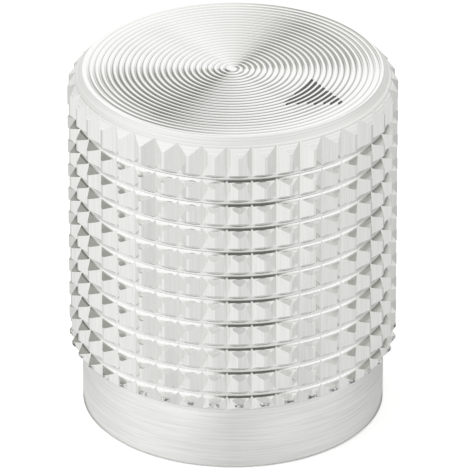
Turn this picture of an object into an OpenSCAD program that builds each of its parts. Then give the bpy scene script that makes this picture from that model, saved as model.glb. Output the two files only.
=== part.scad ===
// Control knob: one turned aluminium body with a straight knurl that grooves round the knob cut into
// short teeth, a plain neck, a face turned in fine rings, a painted pointer lying in those rings, and
// a grub screw that clamps the knob to its shaft. The origin is the centre of the base face, +Z is the
// shaft axis and the pointer lies along +X.

/* [Body] */
// Diameter over the crests of the knurl
knob_d = 16; // [15:0.1:30]
// Height from the base face to the top face
knob_h = 18; // [17:0.1:30]
// Width of the chamfer round the top face
top_chamfer_w = 0.73; // [0.3:0.01:2]
// Height of the chamfer round the top face
top_chamfer_h = 0.8; // [0.3:0.01:2]

/* [Neck] */
// How far the neck is set in from the crests of the knurl
neck_inset = 0.63; // [0.5:0.01:1]
// Height of the plain neck
neck_h = 3.22; // [1:0.01:4]
// Height of the bevel from the neck out to the knurl
neck_bevel_h = 0.5; // [0.2:0.01:1]
// Chamfer of the base edge
base_chamfer = 0.15; // [0.05:0.01:0.5]

/* [Knurl] */
// Number of teeth round the knob
teeth = 40; // [24:1:72]
// Depth of the grooves along the knob
flute_depth = 0.4; // [0.1:0.01:0.45]
// Width of the flat left on each crest
crest_land = 0.14; // [0.05:0.01:0.4]
// Angle from the pointer to the nearest groove along the knob
knurl_turn = -1.7; // [-4.5:0.1:4.5]
// Spacing of the grooves round the knob
groove_pitch = 1.3; // [1:0.01:2.5]
// Width of a groove round the knob, at the outside of the knob
groove_width = 0.7; // [0.4:0.02:0.9]
// Angle between the flanks of a groove
groove_angle = 60; // [50:1:120]
// Width of the floor of a groove
groove_floor = 0.26; // [0.06:0.02:0.34]
// Height of the lowest groove above the bevel
groove_start = 0.5; // [0.45:0.01:1.5]
// Least height from the highest groove to the top chamfer
top_row_h = 1.2; // [0.6:0.01:3]

/* [Top face] */
// Spacing of the turned rings
ring_pitch = 0.286; // [0.2:0.001:0.6]
// Depth of the turned rings
ring_depth = 0.05; // [0.02:0.005:0.1]

/* [Pointer] */
// Side of the pointer triangle
pointer_side = 2.8; // [1.5:0.1:4]
// Distance of the triangle's centre from the axis
pointer_r = 4.8; // [3:0.05:5]
// Turn of the triangle away from the radial line
pointer_turn = 8; // [-15:1:15]
// How far the paint stays below the crests of the rings
paint_drop = 0.012; // [0.005:0.001:0.015]

/* [Shaft bore] */
// Diameter of the bore
bore_d = 6.1; // [4:0.05:7]
// Depth of the full diameter of the bore
bore_depth = 12; // [9:0.1:13]
// Point angle of the drill that ends the bore
drill_angle = 118; // [90:1:140]
// Chamfer of the mouth of the bore
mouth_chamfer = 0.4; // [0.1:0.05:1]

/* [Grub screw] */
// Diameter of the screw
screw_d = 3; // [2.5:0.1:4]
// Length of the screw
screw_l = 4; // [2.5:0.1:4.6]
// Height of the screw's axis above the base face
screw_z = 5.6; // [4:0.1:7]
// Gap between the screw and its hole
screw_gap = 0.02; // [0.01:0.01:0.1]
// How far the screw's point stays out of the bore
screw_setback = 0.3; // [0.1:0.05:0.6]
// Chamfer at both ends of the screw
screw_chamfer = 0.3; // [0.1:0.05:0.4]
// Hexagon socket across its flats
socket_af = 1.5; // [0.9:0.1:2]
// Depth of the hexagon socket
socket_depth = 1.6; // [0.8:0.1:2]
// Diameter of the cup at the screw's point
cup_d = 1.4; // [0.8:0.1:2]

/* [Hidden] */
$fn = 120;

// Extra length that carries a cut past the face it opens
cut_extra = 1;

knob_r = knob_d / 2;
neck_r = knob_r - neck_inset;
top_r = knob_r - top_chamfer_w;
bore_r = bore_d / 2;
drill_tip = bore_r / tan(drill_angle / 2);

// Grooves round the knob, from the bevel up to the top row
groove_depth = (groove_width - groove_floor) / 2 / tan(groove_angle / 2);
groove_low = neck_h + neck_bevel_h + groove_start;
groove_high = knob_h - top_chamfer_h - top_row_h;
groove_zs = [for (z = groove_low; z <= groove_high; z = z + groove_pitch) z];

// Grooves along the knob: each flank runs from a root, past the edge of a land, to a sharp apex
tooth_angle = 360 / teeth;
root_r = knob_r - flute_depth;
land_angle = (tooth_angle - crest_land / knob_r * 180 / PI) / 2;
flank_x = knob_r * cos(land_angle) - root_r;
flank_y = knob_r * sin(land_angle);
apex_r = root_r * flank_y / (flank_y * cos(tooth_angle / 2) - flank_x * sin(tooth_angle / 2));

// Rings of the top face, from the chamfer in to a small flat at the centre
ring_count = floor(top_r / ring_pitch);
ring_floor_z = knob_h - ring_depth;
function ring_crest_r(i) = top_r - i * ring_pitch;
function ring_valley_r(i) = ring_crest_r(i - 0.5);

// Paint fills each valley up to its surface
paint_z = knob_h - paint_drop;
paint_half = ring_pitch / 2 * (1 - paint_drop / ring_depth);
pointer_corner_r = pointer_side / sqrt(3);

screw_r = screw_d / 2;
screw_tip_r = bore_r + screw_setback;

function polar(r, a) = [r * cos(a), r * sin(a)];

// Half section of the body, from the base round to the axis
function body_section() = concat(
    [
        [bore_r + mouth_chamfer, 0],
        [neck_r - base_chamfer, 0],
        [neck_r, base_chamfer],
        [neck_r, neck_h],
        [knob_r, neck_h + neck_bevel_h]
    ],
    [for (z = groove_zs) each [
        [knob_r, z - groove_width / 2],
        [knob_r - groove_depth, z - groove_floor / 2],
        [knob_r - groove_depth, z + groove_floor / 2],
        [knob_r, z + groove_width / 2]
    ]],
    [
        [knob_r, knob_h - top_chamfer_h],
        [top_r, knob_h]
    ],
    [for (i = [1 : ring_count]) each [
        [ring_valley_r(i), ring_floor_z],
        [ring_crest_r(i), knob_h]
    ]],
    [
        [0, knob_h],
        [0, bore_depth + drill_tip],
        [bore_r, bore_depth],
        [bore_r, mouth_chamfer]
    ]
);

// Cross-section of the knurl, a root and an apex for each tooth
function knurl_outline() = [for (i = [0 : teeth - 1]) each [
    polar(root_r, knurl_turn + i * tooth_angle),
    polar(apex_r, knurl_turn + (i + 0.5) * tooth_angle)
]];

// Puts a shape made along +Z onto the axis of the screw, pointing out of the knob
module on_screw_axis() {
    translate([0, 0, screw_z]) rotate([0, -90, 0]) children();
}

module knob_body() {
    color([0.86, 0.86, 0.85]) difference() {
        intersection() {
            translate([0, 0, -cut_extra])
                linear_extrude(knob_h + 2 * cut_extra) polygon(knurl_outline());
            rotate_extrude() polygon(body_section());
        }
        on_screw_axis() cylinder(r = screw_r + screw_gap, h = knob_r + cut_extra);
    }
}

module grub_screw() {
    color([0.2, 0.2, 0.21]) on_screw_axis() translate([0, 0, screw_tip_r]) difference() {
        rotate_extrude() polygon([
            [0, cup_d / 2],
            [cup_d / 2, 0],
            [screw_r - screw_chamfer, 0],
            [screw_r, screw_chamfer],
            [screw_r, screw_l - screw_chamfer],
            [screw_r - screw_chamfer, screw_l],
            [0, screw_l]
        ]);
        translate([0, 0, screw_l - socket_depth])
            cylinder(d = socket_af / cos(30), h = socket_depth + cut_extra, $fn = 6);
    }
}

module pointer_paint() {
    color([0.22, 0.22, 0.22]) intersection() {
        translate([pointer_r, 0, ring_floor_z - cut_extra]) rotate(pointer_turn)
            linear_extrude(2 * cut_extra)
                polygon([for (i = [0 : 2]) polar(pointer_corner_r, i * 120)]);
        rotate_extrude() for (i = [1 : ring_count]) polygon([
            [ring_valley_r(i) - paint_half, paint_z],
            [ring_valley_r(i), ring_floor_z],
            [ring_valley_r(i) + paint_half, paint_z]
        ]);
    }
}

knob_body();
grub_screw();
pointer_paint();
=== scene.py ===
"""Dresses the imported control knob: turned aluminium body, black grub screw and painted pointer."""

import math
import random

import bmesh
import bpy
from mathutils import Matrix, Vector


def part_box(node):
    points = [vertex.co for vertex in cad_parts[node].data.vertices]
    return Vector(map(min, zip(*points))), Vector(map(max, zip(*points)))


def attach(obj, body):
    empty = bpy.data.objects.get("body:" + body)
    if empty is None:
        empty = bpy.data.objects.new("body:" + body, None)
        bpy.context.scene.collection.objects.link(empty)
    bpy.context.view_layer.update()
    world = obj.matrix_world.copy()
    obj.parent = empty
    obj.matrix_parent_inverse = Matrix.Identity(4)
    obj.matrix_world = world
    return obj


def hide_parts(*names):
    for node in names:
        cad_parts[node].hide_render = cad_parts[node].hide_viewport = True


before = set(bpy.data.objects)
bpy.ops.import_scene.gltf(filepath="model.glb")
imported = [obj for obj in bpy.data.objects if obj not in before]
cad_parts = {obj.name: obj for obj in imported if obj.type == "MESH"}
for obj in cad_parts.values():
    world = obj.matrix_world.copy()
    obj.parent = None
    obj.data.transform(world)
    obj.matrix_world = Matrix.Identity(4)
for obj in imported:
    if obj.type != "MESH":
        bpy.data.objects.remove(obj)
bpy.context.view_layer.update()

# Units: the shapes below are worked out in millimetres and become metres when a mesh is made
MM = 0.001
FULL_TURN = 2 * math.pi

# Sizes read from the pieces in model.glb
body_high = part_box("knob_body")[1]
screw_low, screw_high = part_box("grub_screw")
KNOB_H = body_high.z / MM
SCREW_Z = (screw_low.z + screw_high.z) / 2 / MM
SCREW_R = (screw_high.z - screw_low.z) / 2 / MM
SCREW_OUTER = -screw_low.x / MM
SCREW_TIP = -screw_high.x / MM

# Body, as in the CAD source
KNOB_R = 8.0
TOP_CHAMFER_W = 0.73
TOP_CHAMFER_H = 0.8
TOP_R = KNOB_R - TOP_CHAMFER_W
NECK_INSET = 0.63
NECK_R = KNOB_R - NECK_INSET
NECK_H = 3.22
NECK_BEVEL_H = 0.5
TEETH_LOW = NECK_H + NECK_BEVEL_H
BASE_CHAMFER = 0.15
BORE_R = 3.05
BORE_DEPTH = 12.0
DRILL_ANGLE = math.radians(118)
MOUTH_CHAMFER = 0.4
SCREW_GAP = 0.02
BODY_SHARP = math.radians(33)

# Teeth of the knurl, as in the CAD source
TEETH = 40
TOOTH_ANGLE = FULL_TURN / TEETH
KNURL_TURN = math.radians(-1.7)
FLUTE_DEPTH = 0.4
ROOT_R = KNOB_R - FLUTE_DEPTH
CREST_LAND = 0.14

# Grooves across the teeth: spaced as in the CAD source, and cut by a tool with a round nose
GROOVE_PITCH = 1.3
GROOVE_START = 0.5
GROOVE_LOW = TEETH_LOW + GROOVE_START
GROOVE_COUNT = 10
GROOVE_WIDTH = 0.736
GROOVE_SLOPE = math.radians(28)
GROOVE_NOSE = 0.245
NOSE_STEPS = 2
# The straight flanks of a groove end where the round nose of the tool begins
GROOVE_SHARP_DEPTH = GROOVE_WIDTH / 2 / math.tan(GROOVE_SLOPE)
GROOVE_FLOOR_R = KNOB_R - GROOVE_SHARP_DEPTH + GROOVE_NOSE / math.sin(GROOVE_SLOPE) - GROOVE_NOSE
# The nose cuts just below the roots of the teeth: its turn where it leaves them, and at the flanks
ROOT_TURN = math.acos(1 - (ROOT_R - GROOVE_FLOOR_R) / GROOVE_NOSE)
LAST_TURN = math.pi / 2 - GROOVE_SLOPE
NOSE_TURNS = [ROOT_TURN + (LAST_TURN - ROOT_TURN) * step / NOSE_STEPS for step in range(NOSE_STEPS + 1)]
NOSE_LEVELS = [GROOVE_FLOOR_R + GROOVE_NOSE * (1 - math.cos(turn)) for turn in NOSE_TURNS]
NOSE_R = NOSE_LEVELS[-1]
# Radii at which both kinds of flank get points, so that the edges of the teeth meet exactly
LEVELS = [*NOSE_LEVELS, (NOSE_R + KNOB_R) / 2, KNOB_R]

# Spiral tool mark of the top face: pitch, depth, radius of its start, and rows of points in each turn
SPIRAL_PITCH = 0.286
SPIRAL_DEPTH = 0.05
SPIRAL_R = 7.15
SPIRAL_ROWS = 8
# Power of the wave: above 1, the crests are broader than the valleys
SPIRAL_SHARP = 1.6
# The outer turns are shallower: share of the depth at the rim, turns to full depth, turns to close the rim
RIM_DEPTH = 0.76
RIM_TURNS = 6
RIM_CLOSE = 0.5
# The top face uses every second column of the knurl, and its rows start two turns outside the spiral
TOP_STEP = 2
OUTER_TURNS = 2

# Distances under which points merge and edges dissolve, and a difference of radius that counts as none
MERGE_DISTANCE = 1e-4
SHORT_EDGE = 1e-5
SAME_R = 1e-6

# Camera, fitted to the photograph
IMAGE_PX = 470
FOCAL_PX = 8208
CAMERA_DISTANCE = 0.4
CAMERA_ANGLE = math.radians(-53.55)
CAMERA_ELEVATION = math.radians(27.84)
TARGET_Z = 0.00891
AXIS_PX = 232.873
SENSOR_MM = 36.0


def mesh_object(name, points, faces):
    """A mesh object from points in millimetres."""
    mesh = bpy.data.meshes.new(name)
    mesh.from_pydata([Vector(p) * MM for p in points], [], faces)
    mesh.update()
    obj = bpy.data.objects.new(name, mesh)
    bpy.context.collection.objects.link(obj)
    return obj


def clean_mesh(obj, sharp_angle):
    """Merges points that fall together, turns the faces outward and marks the sharp edges."""
    bm = bmesh.new()
    bm.from_mesh(obj.data)
    bmesh.ops.remove_doubles(bm, verts=bm.verts, dist=MERGE_DISTANCE * MM)
    bmesh.ops.dissolve_degenerate(bm, edges=bm.edges, dist=SHORT_EDGE * MM)
    bmesh.ops.recalc_face_normals(bm, faces=bm.faces)
    bm.to_mesh(obj.data)
    bm.free()
    obj.data.shade_smooth()
    obj.data.set_sharp_from_angle(angle=sharp_angle)


def clamp(x):
    """A number held between 0 and 1."""
    return min(max(x, 0.0), 1.0)


def smooth_step(x):
    """A soft ramp from 0 to 1."""
    x = clamp(x)
    return x * x * (3 - 2 * x)


def polar(r, angle, z):
    """The point at a radius, angle and height round the knob's axis."""
    return (r * math.cos(angle), r * math.sin(angle), z)


# Body: a grid of columns round the knob and rows along its section

def flank_angle(radius):
    """Angle from the root of a tooth to the point of its straight flank at this radius."""
    land_edge = TOOTH_ANGLE / 2 - CREST_LAND / 2 / KNOB_R
    along_x = KNOB_R * math.cos(land_edge) - ROOT_R
    along_y = KNOB_R * math.sin(land_edge)
    a = along_x ** 2 + along_y ** 2
    b = 2 * ROOT_R * along_x
    c = ROOT_R ** 2 - radius ** 2
    t = (-b + math.sqrt(max(b * b - 4 * a * c, 0.0))) / (2 * a)
    return math.atan2(t * along_y, ROOT_R + t * along_x)


def knurl_columns():
    """(angle, radius of the tooth there) of every column, once round the knob."""
    columns = []
    for tooth in range(TEETH):
        root = KNURL_TURN + tooth * TOOTH_ANGLE
        for level in LEVELS:
            columns.append((root + flank_angle(level), level))
        for level in reversed(LEVELS[1:]):
            columns.append((root + TOOTH_ANGLE - flank_angle(level), level))
    return columns


def slope_rows(z_out, z_in, r_in):
    """Rows (radius, height) of a slope from the outside of the knob in to r_in, at the levels it passes."""
    passed = [level for level in reversed(LEVELS) if level > r_in + SAME_R]
    rows = []
    for level in [*passed, r_in]:
        share = (KNOB_R - level) / (KNOB_R - r_in)
        rows.append((level, z_out + (z_in - z_out) * share))
    return rows


def groove_rows(z):
    """Rows of one groove round the knob: a straight flank, the round nose and the other flank."""
    half_nose = GROOVE_NOSE * math.cos(GROOVE_SLOPE)
    lower = slope_rows(z - GROOVE_WIDTH / 2, z - half_nose, NOSE_R)
    upper = slope_rows(z + GROOVE_WIDTH / 2, z + half_nose, NOSE_R)
    half_turns = NOSE_TURNS[:-1]
    nose = []
    for turn in [*[-turn for turn in reversed(half_turns)], 0.0, *half_turns]:
        radius = GROOVE_FLOOR_R + GROOVE_NOSE * (1 - math.cos(turn))
        nose.append((radius, z + GROOVE_NOSE * math.sin(turn)))
    return lower + nose + list(reversed(upper))


def section_rows():
    """Rows of the body from the drill point down the bore, round the base and up to the rim."""
    rows = [
        (0.0, BORE_DEPTH + BORE_R / math.tan(DRILL_ANGLE / 2)),
        (BORE_R, BORE_DEPTH),
        (BORE_R, MOUTH_CHAMFER),
        (BORE_R + MOUTH_CHAMFER, 0.0),
        (NECK_R - BASE_CHAMFER, 0.0),
        (NECK_R, BASE_CHAMFER),
    ]
    rows += reversed(slope_rows(TEETH_LOW, NECK_H, NECK_R))
    for i in range(GROOVE_COUNT):
        rows += groove_rows(GROOVE_LOW + i * GROOVE_PITCH)
    rows += slope_rows(KNOB_H - TOP_CHAMFER_H, KNOB_H, TOP_R)
    return rows


def spiral_radius(turn, angle):
    """Radius of the spiral at an angle, a number of turns in from its start."""
    return SPIRAL_R - SPIRAL_PITCH * (turn + angle / FULL_TURN)


def spiral_height(radius, angle):
    """Height of the top face: one spiral valley, counter-clockwise inward, that fades at rim and centre."""
    share = ((SPIRAL_R - radius) / SPIRAL_PITCH - angle / FULL_TURN) % 1.0
    wave = (0.5 + 0.5 * math.cos(FULL_TURN * share)) ** SPIRAL_SHARP
    from_rim = (TOP_R - radius) / SPIRAL_PITCH
    depth = RIM_DEPTH + (1 - RIM_DEPTH) * smooth_step(from_rim / RIM_TURNS)
    fade = depth * smooth_step(from_rim / RIM_CLOSE) * smooth_step(radius / SPIRAL_PITCH)
    return KNOB_H - SPIRAL_DEPTH * fade * wave


def wall_mesh(columns, rows):
    """Points and faces of the wall. A cell with one highest corner is split from that corner."""
    count = len(columns)
    points = [polar(min(row_r, tooth_r), angle, z) for row_r, z in rows for angle, tooth_r in columns]
    faces = []
    for j in range(len(rows) - 1):
        for i in range(count):
            k = (i + 1) % count
            a, b = j * count + i, j * count + k
            c, d = a + count, b + count
            radii = [min(row_r, columns[n][1]) for row_r, z in rows[j:j + 2] for n in (i, k)]
            highest = max(radii)
            lower = [r for r in radii if r < highest - SAME_R]
            if len(lower) != 3:
                faces.append((a, b, d, c))
            elif radii.index(highest) in (0, 3):
                faces += [(a, b, d), (a, d, c)]
            else:
                faces += [(a, b, c), (b, d, c)]
    return points, faces


def add_top(points, faces, columns, rim):
    """Adds the top face: rows along the spiral, each ending on the row that lies one turn further in."""
    picked = range(0, len(columns), TOP_STEP)
    first_row = -OUTER_TURNS * SPIRAL_ROWS
    last_row = math.ceil((SPIRAL_R / SPIRAL_PITCH + 1) * SPIRAL_ROWS)
    grid = {}
    for row in range(first_row, last_row + SPIRAL_ROWS + 1):
        for n, i in enumerate(picked):
            angle = columns[i][0]
            r = min(max(spiral_radius(row / SPIRAL_ROWS, angle), 0.0), TOP_R)
            grid[row, n] = len(points)
            points.append(polar(r, angle, spiral_height(r, angle)))
    last = len(picked) - 1
    for row in range(first_row, last_row):
        for n in range(last):
            faces.append((grid[row, n], grid[row, n + 1], grid[row + 1, n + 1], grid[row + 1, n]))
        inner = row + SPIRAL_ROWS
        faces.append((grid[row, last], grid[inner, 0], grid[inner + 1, 0], grid[row + 1, last]))
    # Slivers between the columns of the rim and the wider columns of the top face
    for i in picked:
        faces.append([rim[(i + step) % len(rim)] for step in range(TOP_STEP + 1)])


def build_body():
    """The body without its cross hole: bore, neck, knurl and top face in one closed mesh."""
    columns = knurl_columns()
    points, faces = wall_mesh(columns, section_rows())
    rim = range(len(points) - len(columns), len(points))
    add_top(points, faces, columns, rim)
    body = mesh_object("knob_dressed", points, faces)
    clean_mesh(body, BODY_SHARP)
    return body


# Grub screw, and the cross hole that it sits in

HOLE_START = 1.0
HOLE_OVERRUN = 1.0
HOLE_COLUMNS = 64
SCREW_COLUMNS = 72
SCREW_SHARP = math.radians(30)
SCREW_CHAMFER = 0.3
CUP_R = 0.7
SOCKET_AF = 1.5
SOCKET_DEPTH = 1.6
SOCKET_POINT = 0.2
# Thread: half of its flat root and one flank are shares of the pitch
THREAD_PITCH = 0.5
THREAD_DEPTH = 0.22
THREAD_ROOT = 0.0625
THREAD_FLANK = 0.25
THREAD_ROWS = 8


def constant(radius):
    """A radius that is the same at every angle, for a row of a revolved mesh."""
    return lambda angle: radius


def revolved(name, rows, columns):
    """A closed mesh from rows of (radius at an angle, height), which start and end on the axis."""
    points = []
    faces = []
    for radius_at, z in rows:
        for i in range(columns):
            angle = FULL_TURN * i / columns
            points.append(polar(radius_at(angle), angle, z))
    for j in range(len(rows) - 1):
        for i in range(columns):
            a = j * columns + i
            b = j * columns + (i + 1) % columns
            faces.append((a, b, b + columns, a + columns))
    return mesh_object(name, points, faces)


def on_screw_axis(obj):
    """Turns a mesh made along +Z onto the axis of the screw, pointing out of the knob."""
    for vertex in obj.data.vertices:
        x, y, z = vertex.co
        vertex.co = (-z, y, x + SCREW_Z * MM)
    obj.data.update()


def drill_cross_hole(body):
    """Cuts the hole of the grub screw from the outside into the bore."""
    hole_r = SCREW_R + SCREW_GAP
    hole_end = KNOB_R + HOLE_OVERRUN
    rows = [
        (constant(0.0), HOLE_START),
        (constant(hole_r), HOLE_START),
        (constant(hole_r), hole_end),
        (constant(0.0), hole_end),
    ]
    cutter = revolved("cutter", rows, HOLE_COLUMNS)
    on_screw_axis(cutter)
    clean_mesh(cutter, SCREW_SHARP)
    cut = body.modifiers.new("cross_hole", "BOOLEAN")
    cut.operation = "DIFFERENCE"
    cut.solver = "EXACT"
    cut.object = cutter
    bpy.context.view_layer.objects.active = body
    bpy.ops.object.modifier_apply(modifier=cut.name)
    bpy.data.objects.remove(cutter)
    clean_mesh(body, BODY_SHARP)


def hex_radius(angle):
    """Distance from the axis to the wall of the hexagon socket."""
    sector = math.pi / 3
    return SOCKET_AF / 2 / math.cos((angle + sector / 2) % sector - sector / 2)


def thread_radius(height):
    """Radius of the thread at a height, as a function of the angle, within the chamfers of both ends."""
    end = min(height - SCREW_TIP, SCREW_OUTER - height)
    limit = SCREW_R - max(SCREW_CHAMFER - end, 0.0)

    def radius_at(angle):
        share = (height / THREAD_PITCH - angle / FULL_TURN) % 1.0
        dip = THREAD_DEPTH * clamp(1 - (abs(share - 0.5) - THREAD_ROOT) / THREAD_FLANK)
        return min(SCREW_R - dip, limit)

    return radius_at


def build_screw():
    """The grub screw: a cup at its point, the thread and a hexagon socket at its outer end."""
    length = SCREW_OUTER - SCREW_TIP
    steps = int(length / THREAD_PITCH * THREAD_ROWS)
    socket_floor = SCREW_OUTER - SOCKET_DEPTH
    rows = [(constant(0.0), SCREW_TIP + CUP_R), (constant(CUP_R), SCREW_TIP)]
    for step in range(steps + 1):
        height = SCREW_TIP + length * step / steps
        rows.append((thread_radius(height), height))
    rows += [(hex_radius, SCREW_OUTER), (hex_radius, socket_floor)]
    rows.append((constant(0.0), socket_floor - SOCKET_POINT))
    screw = revolved("grub_screw_dressed", rows, SCREW_COLUMNS)
    on_screw_axis(screw)
    clean_mesh(screw, SCREW_SHARP)
    return screw


# Pointer: strips of paint that lie in the valleys of the spiral, inside a triangle

POINTER_SIDE = 3.0
POINTER_R = 4.8
POINTER_TURN = math.radians(8)
# A strip's half width as a share of the pitch, its lines of points, and the turns of the spiral tried
PAINT_HALF = 0.3
PAINT_LINES = (-1.0, -0.5, 0.0, 0.5, 1.0)
MIDDLE_LINE = 2
PAINT_TURNS = range(1, 14)
# Step along a strip, half steps tried to each side of the pointer's middle, and fewest steps of a strip
PAINT_STEP = math.radians(0.5)
PAINT_REACH = 160
PAINT_LEAST_STEPS = 3
# Height of the paint in a full valley, least height over the metal, and depth into the metal
PAINT_SINK = 0.004
PAINT_Z = KNOB_H - SPIRAL_DEPTH * (0.5 + 0.5 * math.cos(FULL_TURN * PAINT_HALF)) - PAINT_SINK
PAINT_RISE = 0.002
PAINT_SKIN = 0.012
PAINT_RAGGED = 0.07
PAINT_SEED = 7
PAINT_SHARP = math.radians(40)


def in_pointer(x, y, margin):
    """Whether a point is inside the pointer's triangle, grown by a margin."""
    inner_r = POINTER_SIDE / math.sqrt(12)
    dx, dy = x - POINTER_R, y
    for i in range(3):
        side = POINTER_TURN + math.radians(60 + 120 * i)
        if dx * math.cos(side) + dy * math.sin(side) > inner_r + margin:
            return False
    return True


def paint_spans(turn, margins):
    """First and last angle of each line of a strip, or nothing if the turn misses the pointer."""
    spans = []
    for line, margin in zip(PAINT_LINES, margins):
        hits = []
        for n in range(-PAINT_REACH, PAINT_REACH + 1):
            angle = n * PAINT_STEP / 2
            r = spiral_radius(turn + line * PAINT_HALF, angle)
            if in_pointer(r * math.cos(angle), r * math.sin(angle), margin):
                hits.append(angle)
        spans.append((min(hits), max(hits)) if hits else None)
    middle = spans[MIDDLE_LINE]
    if middle is None or middle[1] - middle[0] < 2 * PAINT_STEP:
        return None
    centre = sum(middle) / 2
    return [span or (centre - PAINT_STEP, centre + PAINT_STEP) for span in spans]


def add_strip(points, faces, turn, spans):
    """Adds one closed strip of paint: a face just over the metal, a back inside it, edges and ends."""
    width = len(PAINT_LINES)
    first = len(points)
    middle = spans[MIDDLE_LINE]
    steps = max(int((middle[1] - middle[0]) / PAINT_STEP), PAINT_LEAST_STEPS)
    for n in range(steps + 1):
        for top in (True, False):
            for line, span in zip(PAINT_LINES, spans):
                angle = span[0] + (span[1] - span[0]) * n / steps
                r = spiral_radius(turn + line * PAINT_HALF, angle)
                metal = spiral_height(r, angle)
                z = max(PAINT_Z, metal + PAINT_RISE) if top else metal - PAINT_SKIN
                points.append(polar(r, angle, z))
    for n in range(steps):
        a = first + n * 2 * width
        b = a + 2 * width
        for i in range(width - 1):
            faces.append((a + i, a + i + 1, b + i + 1, b + i))
            faces.append((a + width + i, b + width + i, b + width + i + 1, a + width + i + 1))
        faces.append((a, b, b + width, a + width))
        faces.append((a + width - 1, a + 2 * width - 1, b + 2 * width - 1, b + width - 1))
    for a in (first, first + steps * 2 * width):
        faces.append([a + i for i in range(width)] + [a + 2 * width - 1 - i for i in range(width)])


def build_paint():
    """Strips of paint, one for each turn of the valley, with ends that follow the triangle raggedly."""
    rng = random.Random(PAINT_SEED)
    points = []
    faces = []
    for turn in PAINT_TURNS:
        margins = [rng.uniform(-PAINT_RAGGED, PAINT_RAGGED) for line in PAINT_LINES]
        spans = paint_spans(turn, margins)
        if spans:
            add_strip(points, faces, turn, spans)
    paint = mesh_object("pointer_dressed", points, faces)
    clean_mesh(paint, PAINT_SHARP)
    return paint


# Nodes: short ways to add the few kinds that the materials and the world use

def add_node(tree, kind, inputs=(), **settings):
    """A new node of a tree with its settings and its inputs, each a value or another node's output."""
    node = tree.nodes.new(kind)
    for name, value in settings.items():
        setattr(node, name, value)
    for socket, value in dict(inputs).items():
        if isinstance(value, bpy.types.NodeSocket):
            tree.links.new(value, node.inputs[socket])
        else:
            node.inputs[socket].default_value = value
    return node


def maths(tree, operation, first, second=0.0):
    """The result of a maths node on one or two numbers."""
    return add_node(tree, "ShaderNodeMath", {0: first, 1: second}, operation=operation).outputs[0]


def vector_maths(tree, operation, first, second=(0, 0, 0)):
    """The result of a vector maths node: a number for a length or a dot product, or else a vector."""
    node = add_node(tree, "ShaderNodeVectorMath", {0: first, 1: second}, operation=operation)
    return node.outputs["Value" if operation in ("LENGTH", "DOT_PRODUCT") else "Vector"]


def ramp(tree, value, start, end, low=0.0, high=1.0, **settings):
    """A value from start to end, mapped to low to high and held there outside."""
    inputs = {"Value": value, "From Min": start, "From Max": end, "To Min": low, "To Max": high}
    return add_node(tree, "ShaderNodeMapRange", inputs, **settings).outputs["Result"]


def mixed(tree, factor, first, second, **settings):
    """A number between two others, by a factor."""
    return add_node(tree, "ShaderNodeMix", {0: factor, 2: first, 3: second}, **settings).outputs[0]


def mixed_colours(tree, factor, first, second):
    """A colour between two others, by a factor."""
    inputs = {0: factor, 6: (*first, 1), 7: (*second, 1)}
    return add_node(tree, "ShaderNodeMix", inputs, data_type="RGBA").outputs[2]


def noise(tree, where, scale, detail):
    """Soft noise from 0 to 1."""
    inputs = {"Vector": where, "Scale": scale, "Detail": detail}
    return add_node(tree, "ShaderNodeTexNoise", inputs).outputs["Fac"]


def object_place(tree):
    """Where a point lies on its object, in metres."""
    return add_node(tree, "ShaderNodeTexCoord").outputs["Object"]


def parts_of(tree, vector):
    """The x, y and z of a vector."""
    return add_node(tree, "ShaderNodeSeparateXYZ", {0: vector}).outputs


def off_axis(tree, place):
    """The part of a place that lies across the knob's axis."""
    return vector_maths(tree, "MULTIPLY", place, (1, 1, 0))


def seen_from_camera(tree, vector):
    """The parts of a vector turned so that x runs towards the camera and y to its right."""
    inputs = {"Vector": vector, "Angle": -CAMERA_ANGLE}
    turned = add_node(tree, "ShaderNodeVectorRotate", inputs, rotation_type="Z_AXIS").outputs[0]
    return parts_of(tree, turned)


# Materials

ALUMINIUM = (0.91, 0.91, 0.893)
PALE_ALUMINIUM = (0.98, 0.98, 0.964)
SATIN_ALUMINIUM = (1.0, 1.0, 0.985)
BLACK_OXIDE = (0.1, 0.1, 0.105)
BLACK_ENAMEL = (0.1, 0.101, 0.086)
# The middle range of a noise, which tool marks and specks are made from
NOISE_LOW = 0.3
NOISE_HIGH = 0.7
MARKS_DETAIL = 3.0
SPECKS_DETAIL = 4.0
SPECKS_SPREAD = 0.08
# Painted shade in the valleys of the spiral: darkest factor, share of that on the inward flanks, share of the
# depth where it ends, and the lean over which the two kinds of flank blend
VALLEY_SHADE_DARKEST = 0.28
VALLEY_SHADE_INNER = 0.2
VALLEY_SHADE_TOP = 0.4
VALLEY_SHADE_LEAN = 0.1
# Painted shade at the lower ends of the teeth, the dark that the bevel there mirrors, broken into specks:
# distances below the crest and above the lowest edge, specks and darkest factor
TOOTH_END_SHADE_DEEP = 0.17
TOOTH_END_SHADE_SHALLOW = 0.08
TOOTH_END_SHADE_FULL_H = 0.05
TOOTH_END_SHADE_END_H = 0.19
TOOTH_END_SHADE_SCALE = 6000
TOOTH_END_SHADE_DETAIL = 2.0
TOOTH_END_SHADE_LOW = 0.4
TOOTH_END_SHADE_HIGH = 0.6
TOOTH_END_SHADE_DARKEST = 0.12


def new_material(name):
    """A material with a Principled shader, its node tree and that shader."""
    material = bpy.data.materials.new(name)
    material.use_nodes = True
    tree = material.node_tree
    return material, tree, tree.nodes["Principled BSDF"]


def turned_coordinates(tree, across, along):
    """Coordinates for marks that run round the knob: fine across the section, slow along the circle."""
    place = object_place(tree)
    parts = parts_of(tree, place)
    radius = vector_maths(tree, "LENGTH", off_axis(tree, place))
    section = maths(tree, "SUBTRACT", radius, parts[2])
    fine = maths(tree, "MULTIPLY", section, across)
    slow_x = maths(tree, "MULTIPLY", parts[0], along)
    slow_y = maths(tree, "MULTIPLY", parts[1], along)
    return add_node(tree, "ShaderNodeCombineXYZ", {0: fine, 1: slow_x, 2: slow_y}).outputs[0]


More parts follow.
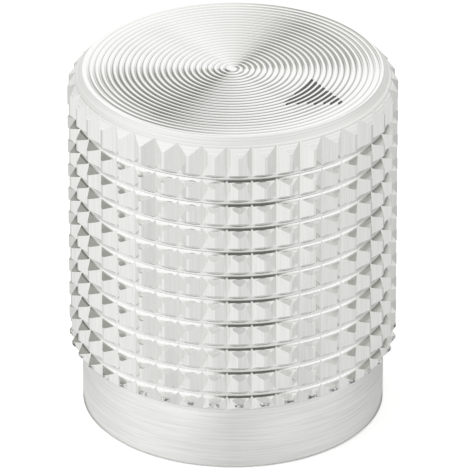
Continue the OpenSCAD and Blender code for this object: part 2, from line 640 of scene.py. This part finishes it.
def drawn_coordinates(tree, across, along):
    """Coordinates for marks that run up and down the teeth: fine across them, slow along the height."""
    return vector_maths(tree, "MULTIPLY", object_place(tree), (across, across, along))


def aluminium(name, coordinates, across, along, roughness, spread, bump, streak, metallic, colour):
    """Cut aluminium with tool marks: their scale, spread of roughness, height and share of dark streaks."""
    material, tree, shader = new_material(name)
    marks = noise(tree, coordinates(tree, across, along), 1.0, MARKS_DETAIL)
    rough = ramp(tree, marks, NOISE_LOW, NOISE_HIGH, roughness - spread, roughness + spread)
    clear = ramp(tree, marks, NOISE_LOW, NOISE_HIGH)
    tint = mixed_colours(tree, clear, [c * (1 - streak) for c in colour], colour)
    relief = {"Height": marks, "Distance": bump * MM, "Strength": 1.0}
    normal = add_node(tree, "ShaderNodeBump", relief).outputs["Normal"]
    tree.links.new(rough, shader.inputs["Roughness"])
    tree.links.new(tint, shader.inputs["Base Color"])
    tree.links.new(normal, shader.inputs["Normal"])
    shader.inputs["Metallic"].default_value = metallic
    return material


def speckled(name, colour, roughness, metallic, scale, change):
    """A plain finish with small changes of colour and roughness, for the paint and the screw."""
    material, tree, shader = new_material(name)
    spots = noise(tree, object_place(tree), scale, SPECKS_DETAIL)
    darker = [c * (1 - change) for c in colour]
    lighter = [c * (1 + change) for c in colour]
    low, high = roughness - SPECKS_SPREAD, roughness + SPECKS_SPREAD
    tree.links.new(mixed_colours(tree, spots, darker, lighter), shader.inputs["Base Color"])
    tree.links.new(ramp(tree, spots, NOISE_LOW, NOISE_HIGH, low, high), shader.inputs["Roughness"])
    shader.inputs["Metallic"].default_value = metallic
    return material


def darken(material, share, darkest):
    """Multiplies a material's colour by a factor that falls from 1 to darkest as the share grows."""
    tree = material.node_tree
    socket = tree.nodes["Principled BSDF"].inputs["Base Color"]
    colour = socket.links[0].from_socket
    factor = ramp(tree, share, 0.0, 1.0, 1.0, darkest)
    tree.links.new(vector_maths(tree, "MULTIPLY", colour, factor), socket)


def paint_shade_in_spiral_valleys(material):
    """Darkens the lower part of the spiral's valleys with painted shade, most of it on the flanks that face
    outward.
    """
    tree = material.node_tree
    place = object_place(tree)
    outward = vector_maths(tree, "NORMALIZE", off_axis(tree, place))
    normal = add_node(tree, "ShaderNodeNewGeometry").outputs["Normal"]
    lean = vector_maths(tree, "DOT_PRODUCT", normal, outward)
    outer = ramp(tree, lean, -VALLEY_SHADE_LEAN, VALLEY_SHADE_LEAN, VALLEY_SHADE_INNER, 1.0)
    floor_z = (KNOB_H - SPIRAL_DEPTH) * MM
    end_z = (KNOB_H - SPIRAL_DEPTH * VALLEY_SHADE_TOP) * MM
    low = ramp(tree, parts_of(tree, place)["Z"], floor_z, end_z, 1.0, 0.0)
    darken(material, maths(tree, "MULTIPLY", low, outer), VALLEY_SHADE_DARKEST)


def paint_shade_at_tooth_ends(material):
    """Darkens the lower end of each tooth in specks: painted shade, the dark that the bevel at these ends
    mirrors.
    """
    tree = material.node_tree
    place = object_place(tree)
    radius = vector_maths(tree, "LENGTH", off_axis(tree, place))
    crest = ramp(tree, radius, (KNOB_R - TOOTH_END_SHADE_DEEP) * MM, (KNOB_R - TOOTH_END_SHADE_SHALLOW) * MM)
    full_z = (TEETH_LOW + TOOTH_END_SHADE_FULL_H) * MM
    end_z = (TEETH_LOW + TOOTH_END_SHADE_END_H) * MM
    low = ramp(tree, parts_of(tree, place)["Z"], full_z, end_z, 1.0, 0.0)
    specks = ramp(tree, noise(tree, place, TOOTH_END_SHADE_SCALE, TOOTH_END_SHADE_DETAIL), TOOTH_END_SHADE_LOW, TOOTH_END_SHADE_HIGH)
    ends = maths(tree, "MULTIPLY", crest, low)
    darken(material, maths(tree, "MULTIPLY", ends, specks), TOOTH_END_SHADE_DARKEST)


# Finishes of the body, in the order of its material slots, and what tells their faces apart
KNURL, TOP, TURNED, NECK = range(4)
LEVEL_FACE = 0.5
SLOPING_FACE = 0.3
TOP_MARGIN = 0.01
NECK_MARGIN = 0.2
BORE_MARGIN = 0.5


def finish_of(face):
    """The finish of a face of the body, by where it lies and how far it faces up."""
    x, y, z = [c / MM for c in face.center]
    r = math.hypot(x, y)
    up = face.normal.z
    if z > KNOB_H - SPIRAL_DEPTH - TOP_MARGIN and r < TOP_R and up > LEVEL_FACE:
        return TOP
    if z > KNOB_H - TOP_CHAMFER_H and up > SLOPING_FACE:
        return TURNED
    if z < NECK_H and r > NECK_R - NECK_MARGIN and abs(up) < LEVEL_FACE:
        return NECK
    if (z < TEETH_LOW and up < -SLOPING_FACE) or r < BORE_R + BORE_MARGIN:
        return TURNED
    return KNURL


def dress_body(body):
    """Gives each region of the body its finish."""
    knurl = aluminium(
        "aluminium_knurl", drawn_coordinates, across=14000, along=400, roughness=0.1, spread=0.04,
        bump=0.0006, streak=0.1, metallic=1.0, colour=ALUMINIUM,
    )
    top = aluminium(
        "aluminium_top", turned_coordinates, across=20000, along=200, roughness=0.15, spread=0.04,
        bump=0.0, streak=0.0, metallic=1.0, colour=PALE_ALUMINIUM,
    )
    turned = aluminium(
        "aluminium_turned", turned_coordinates, across=15000, along=80, roughness=0.42, spread=0.1,
        bump=0.005, streak=0.28, metallic=0.2, colour=SATIN_ALUMINIUM,
    )
    neck = aluminium(
        "aluminium_neck", turned_coordinates, across=14000, along=350, roughness=0.2, spread=0.06,
        bump=0.0008, streak=0.165, metallic=1.0, colour=PALE_ALUMINIUM,
    )
    # Painted shade: dark specks at the lower ends of the teeth
    paint_shade_at_tooth_ends(knurl)
    # Painted shade in the valleys of the spiral
    paint_shade_in_spiral_valleys(top)
    for finish in (knurl, top, turned, neck):
        body.data.materials.append(finish)
    for face in body.data.polygons:
        face.material_index = finish_of(face)


# Studio: a white floor, a soft key light from the left and the cards that a metal knob mirrors

# Card: name, first and last azimuth (from the camera, to the right), lowest and highest elevation,
# half of its soft edge (all in degrees) and level
CARDS = [
    ("ceiling", -200, 200, 62, 120, 8, 0.95),
    ("back of the ceiling, left half", -200, -152, 60, 84, 10, 0.78),
    ("back of the ceiling, right half", 152, 200, 60, 84, 10, 0.8),
    ("left softbox", -99, -27, -2, 60, 6, 1.12),
    ("dark room behind the camera", -11, 36, 1, 57, 7, 0.14),
    ("right wall", 40, 110, 38, 62, 6, 0.75),
    ("right strip light", 46, 93, 3, 38, 7, 1.1),
    ("left gap", -155, -112, -8, 27, 9, 0.2),
    ("left gap, upper part", -161, -109, 21, 50, 7, 0.41),
    ("upper left gap", -172, -118, 48, 66, 12, 0.22),
    ("right gap", 103, 146, -8, 35, 11, 0.28),
    ("low right gap", 150, 172, -8, 18, 6, 0.55),
    ("upper right gap", 108, 138, 28, 57, 7, 0.42),
]
BACKDROP_LEVEL = 1.0
WORLD_LEVEL = 0.88
# The darker parts of the room are a little warmer: the level where that is full, and its blue share
WARM_LEVEL = 0.25
WARM_BLUE = 0.915

# Floor, in metres, with its colour and its own light for the camera
FLOOR_SIZE = 1.2
FLOOR_WHITE = 1.0
FLOOR_LIFT = 0.3
FLOOR_ROUGHNESS = 0.9
# The floor as the metal mirrors it, painted lighter to the sides, most to the left, like a pool of light: its
# level on each side, and how far from the middle that is full
FLOOR_REACH = 0.005
FLOOR_LEFT = 0.965
FLOOR_FRONT = 0.765
FLOOR_RIGHT = 0.84
# Painted shade makes it darker behind the knob and far in front, a painted contact shadow darkens it close
# round the neck, and part of its light is its own glow
FLOOR_BACK_SHADE = 0.25
FLOOR_BACK_SHADE_FULL_X = -0.003
FLOOR_BACK_SHADE_END_X = 0.006
CONTACT_SHADOW_LEVEL = 0.15
CONTACT_SHADOW_REACH = 1.04
FLOOR_END = 0.06
FLOOR_END_REACH = 1.5
FLOOR_END_LEVEL = 0.2
FLOOR_GLOW = 0.4

KEY_POWER = 0.24
KEY_SIZE = 0.25
KEY_DISTANCE = 0.4
KEY_AZIMUTH = math.radians(-70)
KEY_ELEVATION = math.radians(45)


def band(tree, value, low, high, edge):
    """1 where an angle lies between two limits in degrees, with soft edges."""
    masks = []
    for limit, half_edge in ((low, edge), (high, -edge)):
        start, end = math.radians(limit - half_edge), math.radians(limit + half_edge)
        masks.append(ramp(tree, value, start, end, interpolation_type="SMOOTHSTEP"))
    return maths(tree, "MULTIPLY", *masks)


def make_world():
    """White for the camera, a plain level for diffuse light, and the cards for reflections."""
    world = bpy.data.worlds.new("studio")
    bpy.context.scene.world = world
    world.use_nodes = True
    tree = world.node_tree
    background = tree.nodes["Background"].inputs
    parts = seen_from_camera(tree, add_node(tree, "ShaderNodeTexCoord").outputs["Generated"])
    azimuth = maths(tree, "ARCTAN2", parts[1], parts[0])
    elevation = maths(tree, "ARCSINE", parts[2])
    level = BACKDROP_LEVEL
    for name, left, right, low, high, edge, card_level in CARDS:
        across = band(tree, azimuth, left, right, edge)
        upward = band(tree, elevation, low, high, edge)
        level = mixed(tree, maths(tree, "MULTIPLY", across, upward), level, card_level, label=name)
    path = add_node(tree, "ShaderNodeLightPath").outputs
    lit = mixed(tree, path["Is Glossy Ray"], WORLD_LEVEL, level)
    shown = mixed(tree, path["Is Camera Ray"], lit, 1.0)
    blue = ramp(tree, shown, WARM_LEVEL, 1.0, WARM_BLUE, 1.0)
    colour = add_node(tree, "ShaderNodeCombineColor", {0: 1.0, 1: 1.0, 2: blue}).outputs[0]
    tree.links.new(shown, background["Strength"])
    tree.links.new(colour, background["Color"])


def around_object(azimuth, elevation, distance):
    """A point at an azimuth from the camera, to the right, and an elevation, round the knob's middle."""
    angle = CAMERA_ANGLE + azimuth
    flat = distance * math.cos(elevation)
    return Vector(polar(flat, angle, TARGET_Z + distance * math.sin(elevation)))


def aim(obj, target):
    """Turns a light or camera to a point."""
    obj.rotation_euler = (target - obj.location).to_track_quat("-Z", "Y").to_euler()


def painted_mirrored_floor(tree):
    """The level of the floor as the metal mirrors it, with painted light and shade: a pool of light to the
    left, shade behind the knob and far in front, and a contact shadow round the neck.
    """
    place = object_place(tree)
    parts = seen_from_camera(tree, place)
    left = ramp(tree, parts[1], -FLOOR_REACH, 0, FLOOR_LEFT, FLOOR_FRONT)
    right = ramp(tree, parts[1], 0, FLOOR_REACH, FLOOR_FRONT, FLOOR_RIGHT)
    back_shade = ramp(tree, parts[0], FLOOR_BACK_SHADE_FULL_X, FLOOR_BACK_SHADE_END_X, FLOOR_BACK_SHADE, 0)
    lit = maths(tree, "SUBTRACT", maths(tree, "MAXIMUM", left, right), back_shade)
    neck_r = NECK_R * MM
    reach = vector_maths(tree, "LENGTH", place)
    contact_shadow = ramp(tree, reach, neck_r, neck_r * CONTACT_SHADOW_REACH, CONTACT_SHADOW_LEVEL, 1.0)
    far = ramp(tree, parts[0], FLOOR_END, FLOOR_END * FLOOR_END_REACH, 1.0, FLOOR_END_LEVEL)
    return maths(tree, "MULTIPLY", maths(tree, "MULTIPLY", lit, contact_shadow), far)


def make_floor():
    """A floor that is white for the camera and keeps the knob's shadow, with its own level in reflections,
    where its light and shade are painted and part of it glows.
    """
    half = FLOOR_SIZE / 2 / MM
    corners = [(-half, -half, 0), (half, -half, 0), (half, half, 0), (-half, half, 0)]
    floor = mesh_object("floor", corners, [(0, 1, 2, 3)])
    material, tree, shader = new_material("floor_white")
    path = add_node(tree, "ShaderNodeLightPath").outputs
    # Painted light and shade of the floor, for the rays that the metal mirrors
    mirrored = painted_mirrored_floor(tree)
    dull = maths(tree, "MULTIPLY", mirrored, 1 - FLOOR_GLOW)
    level = mixed(tree, path["Is Glossy Ray"], FLOOR_WHITE, dull)
    colour = add_node(tree, "ShaderNodeCombineColor", {0: level, 1: level, 2: level}).outputs[0]
    lift = maths(tree, "MULTIPLY", path["Is Camera Ray"], FLOOR_LIFT)
    glow = maths(tree, "MULTIPLY", mirrored, FLOOR_GLOW)
    bright = mixed(tree, path["Is Glossy Ray"], lift, glow)
    tree.links.new(colour, shader.inputs["Base Color"])
    tree.links.new(bright, shader.inputs["Emission Strength"])
    shader.inputs["Emission Color"].default_value = (1, 1, 1, 1)
    shader.inputs["Roughness"].default_value = FLOOR_ROUGHNESS
    shader.inputs["Specular IOR Level"].default_value = 0.0
    floor.data.materials.append(material)


def make_key_light():
    """A large soft light from the upper left, which the metal doesn't mirror."""
    lamp = bpy.data.lights.new("key", "AREA")
    lamp.energy = KEY_POWER
    lamp.size = KEY_SIZE
    key = bpy.data.objects.new("key", lamp)
    key.location = around_object(KEY_AZIMUTH, KEY_ELEVATION, KEY_DISTANCE)
    aim(key, Vector((0, 0, TARGET_Z)))
    key.visible_glossy = False
    key.visible_camera = False
    bpy.context.collection.objects.link(key)


def make_camera():
    """The camera of the photograph, moved sideways so that the knob's axis falls where it does there."""
    data = bpy.data.cameras.new("camera")
    data.sensor_width = SENSOR_MM
    data.lens = FOCAL_PX * SENSOR_MM / IMAGE_PX
    camera = bpy.data.objects.new("camera", data)
    right = Vector((-math.sin(CAMERA_ANGLE), math.cos(CAMERA_ANGLE), 0))
    sideways = right * (IMAGE_PX / 2 - AXIS_PX) * CAMERA_DISTANCE / FOCAL_PX
    camera.location = around_object(0, CAMERA_ELEVATION, CAMERA_DISTANCE) + sideways
    aim(camera, Vector((0, 0, TARGET_Z)) + sideways)
    bpy.context.collection.objects.link(camera)
    bpy.context.scene.camera = camera


body = build_body()
drill_cross_hole(body)
dress_body(body)
screw = build_screw()
screw.data.materials.append(
    speckled("black_oxide", BLACK_OXIDE, roughness=0.4, metallic=0.9, scale=6000, change=0.3))
paint = build_paint()
paint.data.materials.append(
    speckled("black_enamel", BLACK_ENAMEL, roughness=0.6, metallic=0.0, scale=9000, change=0.5))

dressed = (
    (body, "knob_body", "body_aluminium"),
    (screw, "grub_screw", "screw_steel"),
    (paint, "pointer_paint", "pointer_enamel"),
)
for piece, node, slot in dressed:
    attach(piece, "root")
    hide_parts(node)

make_world()
make_floor()
make_key_light()
make_camera()
bpy.context.scene.view_settings.view_transform = "Standard"
